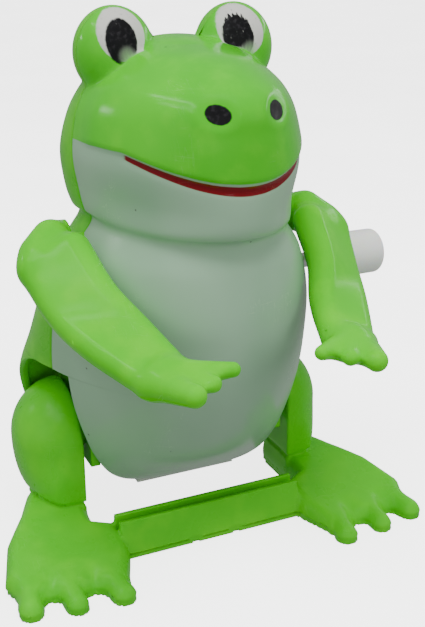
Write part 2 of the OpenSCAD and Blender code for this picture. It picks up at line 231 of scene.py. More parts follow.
def moulded(name, pale, base, deep, rough, glow):
    """Glossy moulded plastic: slight flow marks, handling scratches and dust pits."""
    graph = Graph(name)
    place = graph.place()
    flow = graph.noise(place, 16, 2.0, (1, 1, 0.45))
    cloud = graph.noise(place, 5, 4.0)
    marks = scratches(graph, place, 9) * graph.noise(place, 11, 2.0).rise(0.55, 0.7)
    dust = specks(graph, place, 3.1, 0.36)
    colour = graph.mix(flow.rise(0.32, 0.68), deep, base)
    colour = graph.mix(cloud.rise(0.45, 0.75) * 0.5, colour, pale)
    colour = graph.mix(marks.least(1) * 0.12, colour, rgb(0.4, 0.8, 0.2))
    colour = graph.mix(dust * 0.5, colour, deep)
    roughness = rough + cloud * 0.08 + marks * 0.12 + dust * 0.2
    height = cloud * 0.25 - marks * 0.2 - dust * 0.6 + graph.noise(place, 0.5, 2.0) * 0.08
    return graph.finish(Base_Color=colour, Roughness=roughness, Normal=graph.bump(height, 0.25, 0.12),
                        Subsurface_Weight=glow, Subsurface_Radius=(0.6, 1.0, 0.2), Subsurface_Scale=0.0025,
                        Specular_IOR_Level=0.25)


# ---- the painted face ----
MOUTH_LOW, MOUTH_CURVE, MOUTH_END = 57.3, 0.0205, 13.0
MOUTH_HALF, MOUTH_TAPER = 0.62, 0.0019
MOUTH_SUNK, MOUTH_SPREAD = 0.38, 0.5
LIP_PROUD = 0.42
PAINT_LOW, PAINT_CURVE, PAINT_FLAT = 58.25, 0.0175, 61.3
NOSTRIL = (4.2, 67.0)
NOSTRIL_SIZE = (1.45, 1.2)
NOSTRIL_SHIFT = 0.4
EYE_WHITE = (8.95, 75.3)
EYE_WHITE_SIZE = (3.3, 3.4)
WHITE_SHIFT = -0.5
PUPIL = (8.75, 74.45)
PUPIL_SIZE = (2.15, 2.95)
PUPIL_SHIFT = -1.0


def painted_face(name):
    """White moulding with a green painted upper head, a red mouth, black nostrils and hand-dabbed eyes."""
    graph = Graph(name)
    place = graph.place()
    x, y, z = graph.axes(place)
    side = abs(x)
    wobble = (graph.noise(place, 2.2, 2.0) - 0.5) * 0.35
    grit = graph.noise(place, 0.55, 3.0) - 0.5
    front = y.fall(SEAM - 0.2, SEAM)

    def oval(centre, size, shift, edge, ragged):
        across = (abs(x - shift) - centre[0]) / size[0]
        up = (z - centre[1]) / size[1]
        reach = (across * across + up * up).maths("SQRT") + ragged
        return reach.fall(1 - edge, 1 + edge)

    border = (x * x * PAINT_CURVE + PAINT_LOW).least(PAINT_FLAT)
    green = (z - border + wobble * 0.5).rise(-0.08, 0.14)
    lips = x * x * MOUTH_CURVE + MOUTH_LOW
    lip_half = MOUTH_HALF - x * x * MOUTH_TAPER
    red = (abs(z - lips + wobble * 0.2) - lip_half).fall(-0.06, 0.08) * side.fall(MOUTH_END - 0.3, MOUTH_END)
    red = red * y.fall(0, 1)
    nostril = oval(NOSTRIL, NOSTRIL_SIZE, NOSTRIL_SHIFT, 0.06, grit * 0.12) * y.fall(0, 1)
    on_bump = y.rise(6.2, 6.6) * front
    white_eye = oval(EYE_WHITE, EYE_WHITE_SIZE, WHITE_SHIFT, 0.03, wobble * 0.12 + grit * 0.05) * on_bump
    bristle = graph.noise(place, 1.5, 3.0, (5, 1, 1))
    worn = (x.rise(-1, 1) * 0.16 + 0.03) * z.rise(73.5, 77.5)
    pupil = oval(PUPIL, PUPIL_SIZE, PUPIL_SHIFT, 0.05, grit * 0.10 + (bristle - 0.5) * (worn * 4)) * on_bump
    bare = (bristle * 0.6 + graph.noise(place, 0.35, 2.0) * 0.4).rise(0.62, 0.66)
    pupil = pupil * (1 - bare * worn * 5).most(0)
    stray = specks(graph, place, 2.4, 0.42) * y.rise(3, 4) * z.rise(70, 71)

    flow = graph.noise(place, 14, 2.0, (1, 1, 0.3))
    cloud = graph.noise(place, 4, 4.0)
    dust = specks(graph, place, 2.6, 0.40)
    marks = scratches(graph, place, 10) * graph.noise(place, 12, 2.0).rise(0.56, 0.7)
    milk = graph.mix(flow.rise(0.3, 0.7), MILK, MILK_COOL)
    milk = graph.mix(dust, milk, rgb(0.10, 0.11, 0.10))
    leaf = graph.mix(flow.rise(0.3, 0.7), LEAF_DEEP, LEAF)
    leaf = graph.mix(cloud.rise(0.45, 0.8) * 0.5, leaf, LEAF_PALE)
    colour = graph.mix(green, milk, leaf)
    colour = graph.mix(red, colour, rgb(0.20, 0.002, 0.006))
    colour = graph.mix(white_eye, colour, graph.mix(grit.rise(0.1, 0.3), rgb(0.62, 0.62, 0.58),
                                                    rgb(0.42, 0.42, 0.38)))
    black = graph.mix(grit.rise(0.0, 0.3), rgb(0.004, 0.004, 0.005), rgb(0.03, 0.028, 0.032))
    colour = graph.mix((nostril + pupil + stray).least(1), colour, black)
    colour = graph.mix(marks.least(1) * 0.1, colour, rgb(0.5, 0.8, 0.4))
    paint = (green + red + white_eye + nostril).least(1)
    dabbed = (white_eye + nostril + pupil).least(1)
    roughness = 0.20 + cloud * 0.08 - paint * 0.07 + dabbed * 0.22 + dust * 0.2 + marks * 0.1
    height = paint * 0.5 + pupil * 0.4 + cloud * 0.15 + grit * dabbed * 0.5 - dust * 0.6 - marks * 0.15
    return graph.finish(Base_Color=colour, Roughness=roughness, Normal=graph.bump(height, 0.3, 0.12),
                        Subsurface_Weight=0.12, Subsurface_Radius=(0.9, 1.0, 0.8), Subsurface_Scale=0.002,
                        Specular_IOR_Level=0.3)


def dull_plastic(name, colour, shade):
    """Unpainted natural plastic of the motor: satin, with draw marks."""
    graph = Graph(name)
    place = graph.place()
    cloud = graph.noise(place, 3, 4.0)
    grain = graph.noise(place, 0.4, 3.0)
    dust = specks(graph, place, 2.2, 0.4)
    tint = graph.mix(cloud.rise(0.35, 0.7), shade, colour)
    tint = graph.mix(dust * 0.6, tint, rgb(0.2, 0.19, 0.17))
    return graph.finish(Base_Color=tint, Roughness=0.42 + cloud * 0.15 + dust * 0.2,
                        Normal=graph.bump(grain * 0.5 + cloud * 0.4, 0.3, 0.08),
                        Subsurface_Weight=0.15, Subsurface_Radius=(1.0, 0.95, 0.8), Subsurface_Scale=0.002)


def turned_steel(name, colour, rough):
    """Drawn or turned steel: rings round X and a little oil staining."""
    graph = Graph(name)
    place = graph.place()
    rings = graph.noise(place, 0.35, 2.0, (6, 1, 1))
    stain = graph.noise(place, 4, 3.0)
    tint = graph.mix(stain.rise(0.45, 0.75), colour, rgb(0.30, 0.27, 0.23))
    tint = graph.mix(rings * 0.3, tint, rgb(0.8, 0.8, 0.82))
    return graph.finish(Base_Color=tint, Metallic=1.0, Roughness=rough + rings * 0.15 + stain * 0.1,
                        Normal=graph.bump(rings, 0.2, 0.03))


def pale_floor(name):
    graph = Graph(name)
    place = graph.place()
    cloud = graph.noise(place, 60, 3.0)
    tint = graph.mix(cloud.rise(0.3, 0.7), rgb(0.86, 0.86, 0.86), rgb(0.89, 0.89, 0.89))
    return graph.finish(Base_Color=tint, Roughness=0.6 + cloud * 0.1,
                        Emission_Color=tint, Emission_Strength=FLOOR_GLOW)


# ---- meshes ----
def make_mesh(name, points, faces, material):
    """A smooth-shaded object from points in millimetres and quads, its place in its mesh."""
    mesh = bpy.data.meshes.new(name)
    points = np.asarray(points, np.float64) * MM
    if isinstance(faces, np.ndarray):
        faces = faces.tolist()
    mesh.from_pydata(points.tolist(), [], faces)
    mesh.validate()
    mesh.polygons.foreach_set("use_smooth", np.ones(len(mesh.polygons), bool))
    mesh.materials.append(material)
    mesh.update()
    thing = bpy.data.objects.new(name, mesh)
    bpy.context.scene.collection.objects.link(thing)
    return thing


def mirrored(points, faces):
    """The same shape on the frog's other side, its faces turned to stay outward."""
    return points * np.array([-1, 1, 1]), faces[:, ::-1]


def smooth_step(value, low, high):
    t = np.clip((value - low) / (high - low), 0, 1)
    return t * t * (3 - 2 * t)


def smooth_between(a, b, c, d, t):
    """A point at share t from b to c, on a smooth curve through a, b, c and d."""
    return b + t * ((c - a) / 2 + t * ((2 * a - 5 * b + 4 * c - d) / 2 + t * (3 * b - a - 3 * c + d) / 2))


def blend_near(a, b, radius):
    """The union of two fields, rounded where they meet."""
    h = np.maximum(radius - np.abs(a - b), 0) / radius
    return np.minimum(a, b) - h * h * radius / 4


def common(a, b, radius):
    """The part inside both fields, with a rounded edge."""
    return -blend_near(-a, -b, radius)


def capsule(p, a, b, r):
    """Distance to a rod with round ends, whose radius may taper from r[0] to r[1]."""
    a, b = np.asarray(a, float), np.asarray(b, float)
    along = np.clip((p - a) @ (b - a) / ((b - a) @ (b - a)), 0, 1)
    near = np.linalg.norm(p - a - along[..., None] * (b - a), axis=-1)
    r = np.broadcast_to(r, 2)
    return near - (r[0] + (r[1] - r[0]) * along)


def rod_x(p, x0, x1, centre, r):
    """Distance to a cylinder along X."""
    round_it = np.hypot(p[..., 1] - centre[-2], p[..., 2] - centre[-1]) - r
    return np.maximum(round_it, np.abs(p[..., 0] - (x0 + x1) / 2) - (x1 - x0) / 2)


def polygon(p, corners):
    """Signed distance to a flat outline; p and the corners are pairs."""
    corners = np.asarray(corners, float)
    near, inside = None, np.zeros(p.shape[:-1], bool)
    for a, b in zip(corners, np.roll(corners, -1, 0)):
        edge, out = b - a, p - a
        t = np.clip(out @ edge / (edge @ edge), 0, 1)
        gap = np.linalg.norm(out - t[..., None] * edge, axis=-1)
        near = gap if near is None else np.minimum(near, gap)
        if a[1] != b[1]:
            crosses = (a[1] > p[..., 1]) != (b[1] > p[..., 1])
            inside ^= crosses & (out[..., 0] < edge[0] * out[..., 1] / edge[1])
    return np.where(inside, -near, near)


def skin(field, low, high, step, mirror=False):
    """The closed surface where a field is zero, as points and quads. With mirror the field is even in X
    and low[0] is ignored."""
    low, high = np.array(low, float), np.array(high, float)
    if mirror:
        half = int(np.ceil(high[0] / step))
        xs = (np.arange(-half, half) + 0.5) * step
    else:
        xs = np.arange(low[0], high[0] + step, step)
    axes = [xs] + [np.arange(a, b + step, step) for a, b in zip(low[1:], high[1:])]
    where = [axes[0][half:] if mirror else axes[0], axes[1], axes[2]]
    grid = field(np.stack(np.meshgrid(*where, indexing="ij"), -1).astype(np.float32))
    if mirror:
        grid = np.concatenate([grid[::-1], grid])
    inside = grid < 0
    corners = sum(inside[i:inside.shape[0] - 1 + i, j:inside.shape[1] - 1 + j, k:inside.shape[2] - 1 + k]
                  .astype(np.int8) for i in (0, 1) for j in (0, 1) for k in (0, 1))
    active = (corners > 0) & (corners < 8)
    number = np.full(active.shape, -1)
    number[active] = np.arange(active.sum())
    origin = np.array([axis[0] for axis in axes])
    points = origin + (np.argwhere(active) + 0.5) * step
    points = settle(field, points, step)
    faces = []
    for axis in range(3):
        before, after = np.take(inside, range(inside.shape[axis] - 1), axis), \
            np.take(inside, range(1, inside.shape[axis]), axis)
        edges = np.argwhere(before != after)
        u, v = np.eye(3, dtype=int)[(axis + 1) % 3], np.eye(3, dtype=int)[(axis + 2) % 3]
        ring = [number[tuple((edges - shift).T)] for shift in (u + v, v, 0 * u, u)]
        quads = np.stack(ring, -1)
        outward = before[tuple(edges.T)]
        faces.append(np.where(outward[:, None], quads, quads[:, ::-1]))
    return points, np.concatenate(faces)


def settle(field, points, step, rounds=4, tiny=0.02):
    """Moves points on to the surface where the field is zero."""
    for _ in range(rounds):
        value = field(points)
        slope = np.stack([(field(points + tiny * unit) - field(points - tiny * unit)) / (2 * tiny)
                          for unit in np.eye(3)], -1)
        length = np.maximum((slope ** 2).sum(-1), 0.1)
        move = slope * (value / length)[:, None]
        far = np.linalg.norm(move, axis=-1, keepdims=True)
        points = points - move * np.minimum(1, 0.6 * step / np.maximum(far, 1e-9))
    return points


# ---- the two shells ----
# height, half width at the seam, swell of the back half, pinch of the front half, front, back, squareness
OUTLINE = np.array([
    [ 7.0, 12.1, 3.2,  0.6,   7.5, 26.0, 3.0],
    [ 8.5, 14.4, 4.7,  0.8,   5.0, 28.3, 2.6],
    [11.0, 16.5, 6.2,  1.2,   1.6, 30.5, 2.2],
    [16.0, 18.7, 7.6,  2.1,  -4.0, 32.5, 2.0],
    [23.0, 20.5, 6.3,  3.0,  -8.8, 33.2, 2.0],
    [30.0, 20.8, 3.5,  2.7, -11.2, 32.5, 2.0],
    [38.0, 19.7, 1.9,  1.3, -11.6, 30.0, 2.0],
    [45.0, 16.7, 1.4, -0.2, -10.8, 27.0, 2.0],
    [49.3, 13.7, 1.7, -0.5,  -9.6, 24.8, 2.0],
    [51.0, 14.7, 2.0,  0.4, -11.8, 24.6, 2.0],
    [54.0, 15.4, 2.3,  1.0, -12.4, 25.0, 2.0],
    [59.0, 16.1, 2.0,  0.5, -12.4, 25.2, 2.0],
    [64.0, 15.5, 1.1,  0.8, -12.2, 24.8, 2.0],
    [67.5, 14.1, 0.4,  1.0, -11.6, 23.6, 2.0],
    [70.6, 11.8, 0.0,  1.1,  -8.3, 21.8, 2.0],
    [72.8,  8.9, 0.0,  0.7,  -2.8, 19.4, 2.0],
    [74.0,  5.6, 0.0,  0.3,   4.6, 16.2, 2.0]])
EYE_AT = np.array([9.2, 12.0, 72.6])
EYE_RADII = np.array([5.7, 5.6, 6.3])
HEAD_CORE = np.array([0, SEAM, 60])
DOME = 64.0
RIM_EASE = 0.22
CREASE = 0.5
SHELL_ROWS, SHELL_COLUMNS, CROWN_ROWS = 250, 150, 40


def ring_at(k):
    """The outline at ring number k, on a smooth curve through the listed rings."""
    last = len(OUTLINE) - 1
    i = np.clip(np.floor(k).astype(int), 0, last - 1)
    neighbours = (OUTLINE[np.clip(i + s, 0, last)] for s in (-1, 0, 1, 2))
    return smooth_between(*neighbours, (k - i)[:, None])


def rings_evenly(rows):
    """Rings spaced evenly down the front, with a close pair at the top edge of the thigh notch."""
    dense = np.linspace(0, len(OUTLINE) - 1, 4000)
    rings = ring_at(dense)
    path = np.r_[0, np.cumsum(np.hypot(np.diff(rings[:, 0]), np.diff(rings[:, 4])))]
    chosen = np.interp(np.linspace(0, path[-1], rows), path, dense)
    notch = np.interp(NOTCH_TOP, rings[:, 0], dense)
    chosen = np.sort(np.r_[chosen, notch - 0.002, notch + 0.002])
    made = ring_at(chosen)
    # the crown is closed by rings that shrink towards its middle
    crown = []
    for share in np.linspace(1, 0.03, CROWN_ROWS)[1:]:
        ring = made[-1] * share
        ring[4:6] += SEAM * (1 - share)
        ring[0], ring[6] = made[-1, 0] + (CROWN - made[-1, 0]) * (1 - share ** 2), made[-1, 6]
        crown.append(ring)
    return np.concatenate([made, crown])


def notch_edge(z, half):
    """Where each ring of a half ends: at the seam above the notch, at the notch's edge below its top."""
    if half == "front":
        return np.where(z > NOTCH_TOP, SEAM, NOTCH_FRONT)
    arc = HIP[1] + np.sqrt(np.clip(NOTCH_R ** 2 - np.clip(z - HIP[2], 0, None) ** 2, 0, None))
    return np.where(z > NOTCH_TOP, SEAM, arc)


def spread(columns):
    """Numbers from 0 to 1, closer together at both ends."""
    even = np.linspace(0, 1, columns)
    return 0.45 * even + 0.55 * (1 - np.cos(np.pi * even)) / 2


def power(value, exponent):
    return np.sign(value) * np.abs(value) ** exponent


def with_eyes(points, eye_radii):
    """Pushes the crown out to the eye bumps, along lines from the middle of the head."""
    line = points - HEAD_CORE
    length = np.linalg.norm(line, axis=-1)
    folded = line.copy()
    folded[..., 0] = np.abs(folded[..., 0])
    low, high = np.ones(length.shape), np.full(length.shape, 2.2)
    for _ in range(26):
        middle = (low + high) / 2
        spot = (HEAD_CORE + middle[..., None] * folded - EYE_AT) / eye_radii
        bump = (np.linalg.norm(spot, axis=-1) - 1) * eye_radii.mean()
        outside = blend_near((middle - 1) * length, bump, CREASE) > 0
        high, low = np.where(outside, middle, high), np.where(outside, low, middle)
    amount = smooth_step(points[..., 2], DOME - 3, DOME - 1)[..., None]
    return HEAD_CORE + line * (1 + (low[..., None] - 1) * amount)


def half_surface(rings, half, inset):
    """The points of one half, rings by columns, drawn in by inset."""
    z, width, swell, pinch, front, back, square = rings.T
    edge = notch_edge(z, half)
    depth = (SEAM - front) if half == "front" else (back - SEAM)
    share = np.clip(np.abs(edge - SEAM) / depth, 0, 0.98)
    start = np.arcsin(share ** (square / 2))
    turn = start[:, None] + (np.pi - 2 * start[:, None]) * spread(SHELL_COLUMNS)[None, :]
    turn = turn + (np.pi if half == "front" else 0)
    square = square[:, None]
    across, along = power(np.cos(turn), 2 / square), power(np.sin(turn), 2 / square)
    sunk = inset * np.clip((z - DOME) / (CROWN - DOME), 0, None)
    x = (width - inset)[:, None] * across
    x = x + (pinch if half == "front" else swell)[:, None] * np.sin(2 * turn)
    y = SEAM + (depth - inset)[:, None] * along
    points = np.stack([x, y, np.broadcast_to((z - sunk)[:, None], x.shape)], -1)
    return with_eyes(points, EYE_RADII - inset)


def grid_normals(points):
    normals = np.cross(np.gradient(points, axis=1), np.gradient(points, axis=0))
    return normals / np.maximum(np.linalg.norm(normals, axis=-1, keepdims=True), 1e-9)


def face_relief(points):
    """How far the front shell stands out: the upper lip, the mouth's groove and the nostrils' dimples."""
    x, y, z = points[..., 0], points[..., 1], points[..., 2]
    before_seam = smooth_step(SEAM - y, 1.5, 7)
    border = np.minimum(PAINT_LOW + PAINT_CURVE * x ** 2, PAINT_FLAT)
    lip = LIP_PROUD * smooth_step(z, border - 0.45, border + 0.5) * smooth_step(-z, -72, -68)
    groove = MOUTH_LOW + MOUTH_CURVE * x ** 2
    mouth = -MOUTH_SUNK * np.exp(-((z - groove) / MOUTH_SPREAD) ** 2)
    mouth = mouth * smooth_step(-np.abs(x), -MOUTH_END - 0.6, -MOUTH_END + 0.4)
    aside = np.abs(x - NOSTRIL_SHIFT) - NOSTRIL[0]
    dimple = (aside / NOSTRIL_SIZE[0]) ** 2 + ((z - NOSTRIL[1]) / NOSTRIL_SIZE[1]) ** 2
    nose = -0.5 * np.exp(-dimple * 0.7) + 0.08 * np.exp(-(np.sqrt(dimple) - 1.7) ** 2 * 4)
    return (lip + mouth + nose * (y < 0)) * before_seam


def shell_half(half):
    """One closed shell half: outer skin, inner skin, and the rims that join them."""
    rings = rings_evenly(SHELL_ROWS)
    outer, inner = half_surface(rings, half, 0), half_surface(rings, half, WALL)
    if half == "front":
        outer = outer + grid_normals(outer) * face_relief(outer)[..., None]
    # the outer rim is eased by a small radius
    gap = np.minimum(np.linalg.norm(outer - outer[:, :1], axis=-1),
                     np.linalg.norm(outer - outer[:, -1:], axis=-1))
    drop = RIM_EASE - np.sqrt(np.maximum(RIM_EASE ** 2 - np.maximum(RIM_EASE - gap, 0) ** 2, 0))
    inward = inner - outer
    inward = inward / np.maximum(np.linalg.norm(inward, axis=-1, keepdims=True), 1e-6)
    outer = outer + inward * drop[..., None]
    rows, columns = outer.shape[:2]
    number = np.arange(rows * columns).reshape(rows, columns)
    shift = rows * columns
    quads = np.stack([number[:-1, :-1], number[:-1, 1:], number[1:, 1:], number[1:, :-1]], -1).reshape(-1, 4)
    bottom = np.stack([number[0, 1:], number[0, :-1], number[0, :-1] + shift, number[0, 1:] + shift], -1)
    first = np.stack([number[:-1, 0], number[1:, 0], number[1:, 0] + shift, number[:-1, 0] + shift], -1)
    last = np.stack([number[1:, -1], number[:-1, -1], number[:-1, -1] + shift, number[1:, -1] + shift], -1)
    faces = [quads, quads[:, ::-1] + shift, bottom, first, last]
    # the crown closes with a fan on each skin and one strip between them
    top, under = 2 * shift, 2 * shift + 1
    fans = [[a, b, top] for a, b in zip(number[-1, :-1], number[-1, 1:])]
    fans += [[b + shift, a + shift, under] for a, b in zip(number[-1, :-1], number[-1, 1:])]
    fans += [[number[-1, 0], top, under, number[-1, 0] + shift],
             [top, number[-1, -1], number[-1, -1] + shift, under]]
    faces = [list(map(int, f)) for f in np.concatenate(faces)] + [list(map(int, f)) for f in fans]
    crown = np.array([[0, SEAM, CROWN], [0, SEAM, CROWN - WALL]])
    return np.concatenate([outer.reshape(-1, 3), inner.reshape(-1, 3), crown]), faces


# ---- the recess the thigh lies in ----
RIM_WALL, RIM_SUNK = 1.2, 0.2
RECESS_X, RECESS_LOW = (15.0, 16.4), 11.0
HUB_R = 3.4
RECESS_BOX, RECESS_GRID = ((14, 6, 8), (26.5, 28, 30)), 0.3


def recess_field(p):
    """The flat bottom of the recess with its hub hole, and the wall that joins it to the back shell."""
    x, y, z = p[..., 0], p[..., 1], p[..., 2]
    from_hip = np.hypot(y - HIP[1], z - HIP[2])
    notch = np.where(z > HIP[2], from_hip, np.abs(y - HIP[1])) - NOTCH_R
    bottom = np.maximum(np.abs(x - sum(RECESS_X) / 2) - np.ptp(RECESS_X) / 2, notch - RIM_WALL / 2)
    bottom = np.maximum(bottom, np.maximum(NOTCH_FRONT + 0.3 - y, HUB_R + 0.3 - from_hip))
    rings = ring_at(np.linspace(0, len(OUTLINE) - 1, 600))
    width, swell, back, square = (np.interp(z, rings[:, 0], rings[:, k]) for k in (1, 2, 5, 6))
    share = np.clip((y - SEAM) / (back - SEAM - RIM_SUNK), 0, 1)
    turn = np.arcsin(share ** (square / 2))
    shell = (width - RIM_SUNK) * np.cos(turn) ** (2 / square) + swell * np.sin(2 * turn)
    wall = np.maximum(np.abs(notch - RIM_WALL / 2) - RIM_WALL / 2, np.maximum(RECESS_X[0] - x, x - shell))
    wall = np.maximum(wall, SEAM - y)
    return np.maximum(np.minimum(bottom, wall), RECESS_LOW - z)


# ---- arms ----
INNER_EDGE = np.array([[18.6, 4.5, 47.2], [17.1, -2.3, 42.8], [14.2, -8.2, 38.9], [12, -15, 36]])
OUTER_EDGE = np.array([[23.6, 5.7, 44.4], [22, -0.5, 40], [19.8, -6.7, 37.5], [15.8, -15.5, 35]])
EDGE_R = np.array([2.5, 2.3, 2.2, 2.0])
ARM_STATIONS = 44
ARM_IN, ARM_FLAT = 17.5, 7.0
SHOULDER_RODS = [((20.4, 9, 48), (22.8, 8, 46.4), (2.6, 2.4)),
                 ((20.2, 10.4, 46.6), (22.2, 7, 44.6), (2.4, 2.6))]
FINGERS = [((13.2, -16.6, 35.9), (6.4, -20.9, 37.2), (2.1, 1.0)),
           ((15.0, -17.2, 35.2), (12.9, -23.9, 36.1), (2.1, 1.5)),
           ((13.4, -16.8, 35.6), (9.8, -22.4, 36.5), (2.0, 1.1))]
WEB = 1.8
BOSS_AT, BOSS_R = (11, 47), 2.8
PEG_R, PEG_HEAD_R, PEG_HEAD_X = 1.75, 2.3, (11.2, 12.4)
ARM_BOX = (3, -28, 31), (28, 15, 53)
FAR = 99.0


def curve_through(points, count):
    """Evenly counted points on a smooth curve through the given ones."""
    points = np.asarray(points, float)
    padded = np.concatenate([2 * points[:1] - points[1:2], points, 2 * points[-1:] - points[-2:-1]])
    made = []
    for s in np.linspace(0, len(points) - 1, count):
        i = min(int(s), len(points) - 2)
        t = s - i
        made.append(smooth_between(*padded[i:i + 4], t))
    return np.array(made)


def arm_field(p):
    """A flat bent arm with round edges, an open hand with three webbed fingers, and its shoulder peg."""
    inner, outer = curve_through(INNER_EDGE, ARM_STATIONS), curve_through(OUTER_EDGE, ARM_STATIONS)
    radii = curve_through(EDGE_R[:, None], ARM_STATIONS)[:, 0]
    field = np.full(p.shape[:-1], FAR)
    for a, b, r in zip(inner, outer, radii):
        field = np.minimum(field, capsule(p, a, b, r))
    shoulder, under = (capsule(p, *rod) for rod in SHOULDER_RODS)
    field = blend_near(field, blend_near(shoulder, under, 2), 2.5)
    for finger in FINGERS:
        field = blend_near(field, capsule(p, *finger), WEB)
    boss = rod_x(p, ARM_IN, ARM_IN + 2, BOSS_AT, BOSS_R)
    field = blend_near(field, boss, 1.0)
    peg = rod_x(p, PEG_HEAD_X[1] - 0.1, ARM_IN + 0.5, SHOULDER, PEG_R)
    head = rod_x(p, *PEG_HEAD_X, SHOULDER, PEG_HEAD_R)
    # behind ARM_FLAT the arm's inner side is flat, to lie along the body
    field = np.maximum(field, ARM_IN - p[..., 0] - FAR * (p[..., 1] < ARM_FLAT))
    return np.minimum(field, np.minimum(peg, head))


# ---- leg frame ----
BAR_PROFILE = [(-2.7, 0), (2.7, 0), (2.4, 5.6), (1.6, 5.6), (1.4, 1.6), (0.2, 1.6), (0.4, 5.3), (-0.6, 5.6)]
FOOT_OUTLINE = [(14.2, 2.7), (14.6, -3.5), (16.6, -9.0), (19, -9.3), (31.6, -7.6), (33.3, -3), (31.2, 4),
                (27.6, 10), (25.4, 15), (23.6, 16), (17.6, 16), (17.6, 4.5)]
TOES = [((19.3, -5.5), (18.3, -10.9), 1.95),
        ((25.2, -5.5), (24.9, -10.35), 1.9),
        ((29.8, -4.5), (31.1, -9.0), 2.0)]
VALLEYS = [(21.9, -9.6), (28.1, -9.0)]
THIGH_MIDDLE = np.array([THIGH_IN, 17.0, 13.6])
THIGH_RADII = np.array([8.6, 9.8, 8.8])
THIGH_DROP = 15.0
THIGH_FRONT, THIGH_REACH = 7.4, 10.0
TAIL = [(13.0, 19.4), (18.0, 22.6), (20.0, 22.6), (17.4, 15.0), (14.0, 16.0)]
PARTING, PARTING_STEP = 0.85, 0.22
INSTEP_LOW, INSTEP_RISE = 2.35, 3.1
VALLEY_DEPTH, VALLEY_WIDTH = 1.5, 1.25
ANKLE_GROOVE, ANKLE_WIDTH = 0.45, 0.35
NICK_AT, NICK_SIZE = (3.4, -2.6, 0.9), (1.3, 0.5, 0.7)
PIN_HOLE_R = 1.27
LEG_BOX = (0, -14.5, -1), (35, 25.5, 26)


def leg_field(p):
    """Crossbar, feet and thighs in one moulding, the same on both sides."""
    p = np.concatenate([np.abs(p[..., :1]), p[..., 1:]], -1)
    x, y, z = p[..., 0], p[..., 1], p[..., 2]
    plan, side = p[..., :2], p[..., 1:]
    below = PARTING_STEP * smooth_step(-z, -PARTING - 0.12, -PARTING + 0.12)
    bar = np.maximum(polygon(side, BAR_PROFILE) + below * (z > 0.05), x - 15.0)
    outline = polygon(plan, FOOT_OUTLINE)
    for root, tip, r in TOES:
        outline = blend_near(outline, capsule(plan, root, tip, r), 1.0)
    outline = outline + below
    crown = INSTEP_LOW + INSTEP_RISE * smooth_step(y, -13.5, 12)
    for vx, vy in VALLEYS:
        reach = smooth_step(-y, 3.6, 8.6)
        aside = x - vx + 0.12 * (y - vy)
        crown = crown - VALLEY_DEPTH * reach * np.exp(-(aside / VALLEY_WIDTH) ** 2)
    brink = 0.55 * np.maximum(outline + 1.7, 0) ** 2
    foot = common(outline, (z - crown + brink) * 0.85, 0.7)
    foot = np.maximum(foot, -z)
    egg = (p - THIGH_MIDDLE) / THIGH_RADII
    egg[..., 1] = egg[..., 1] / (1 + 0.5 * smooth_step(-z, -THIGH_MIDDLE[2], -3))
    egg[..., 2] = np.where(egg[..., 2] < 0, egg[..., 2] * THIGH_RADII[2] / THIGH_DROP, egg[..., 2])
    thigh = (np.linalg.norm(egg, axis=-1) - 1) * 8.4
    reach = np.hypot(y - HIP[1], z - HIP[2]) - THIGH_REACH
    reach = np.minimum(reach, np.maximum(y - 16, z - HIP[2]))
    thigh = common(thigh, np.maximum(THIGH_IN - x, THIGH_FRONT - y), 0.5)
    thigh = common(thigh, np.maximum(reach, 2 - z), 0.5)
    ankle = crown + 0.35 * smooth_step(x, 17, 24)
    thigh = thigh + ANKLE_GROOVE * np.exp(-((z - ankle) / ANKLE_WIDTH) ** 2)
    hub = rod_x(p, HUB_X, THIGH_IN + 1, HIP, HUB_R)
    tail = np.maximum(polygon(side, TAIL), np.abs(x - HUB_X - 0.75) - 0.75)
    bore = rod_x(p, HUB_X - 1, THIGH_IN - 0.3, HIP, PIN_HOLE_R)
    field = blend_near(bar, foot, 0.7)
    field = blend_near(field, thigh, 0.5)
    nick = np.linalg.norm((p - NICK_AT) / NICK_SIZE, axis=-1) - 1
    field = np.maximum(field, -nick * 0.5)
    field = np.minimum(field, np.minimum(hub, tail))
    return np.maximum(field, -bore)


# ---- knob ----
def lathe(profile, centre, steps=96):
    """A closed turned shape round an axis along X, from (x, radius) pairs that start and end on the axis."""
    profile = np.asarray(profile, float)
    turns = np.arange(steps) * 2 * np.pi / steps
    rim = profile[1:-1]
    rings = np.stack([np.stack([np.full(steps, x), centre[-2] + r * np.cos(turns),
                                centre[-1] + r * np.sin(turns)], -1) for x, r in rim])
    number = np.arange(len(rim) * steps).reshape(len(rim), steps)
    turned = np.roll(number, -1, 1)
    quads = np.stack([number[:-1], number[1:], turned[1:], turned[:-1]], -1).reshape(-1, 4).tolist()
    ends = [(profile[0][0], centre[-2], centre[-1]), (profile[-1][0], centre[-2], centre[-1])]
    near, far = len(rim) * steps, len(rim) * steps + 1
    quads += [[int(a), int(b), near] for a, b in zip(number[0], turned[0])]
    quads += [[int(b), int(a), far] for a, b in zip(number[-1], turned[-1])]
    return np.concatenate([rings.reshape(-1, 3), ends]), quads


def rounded_corner(x, r, radius, start, steps=8):
    """Points of a quarter circle on a turned profile; start is its first direction in degrees."""
    angles = np.radians(start - np.linspace(0, 90, steps))
    return [(x + radius * np.cos(a), r + radius * np.sin(a)) for a in angles]


def knob_profile(low, high):
    x0, x1 = low[0], high[0]
    r = (high[2] - low[2]) / 2
    return ([(x0, 0), (x0, 2.2), (x0 + 0.25, 2.5)] + rounded_corner(x0 + 0.4, r - 0.4, 0.4, 180)
            + [(x0 + 4, r - 0.01), (x1 - 4, r - 0.03)] + rounded_corner(x1 - 0.9, r - 0.95, 0.9, 90)
            + [(x1, 1.6), (x1 - 0.15, 1.45), (x1 - 0.15, 0)])


# ---- hip springs, by Geometry Nodes ----
SPRING_WIRE_R, SPRING_TURNS = 0.25, 4.0


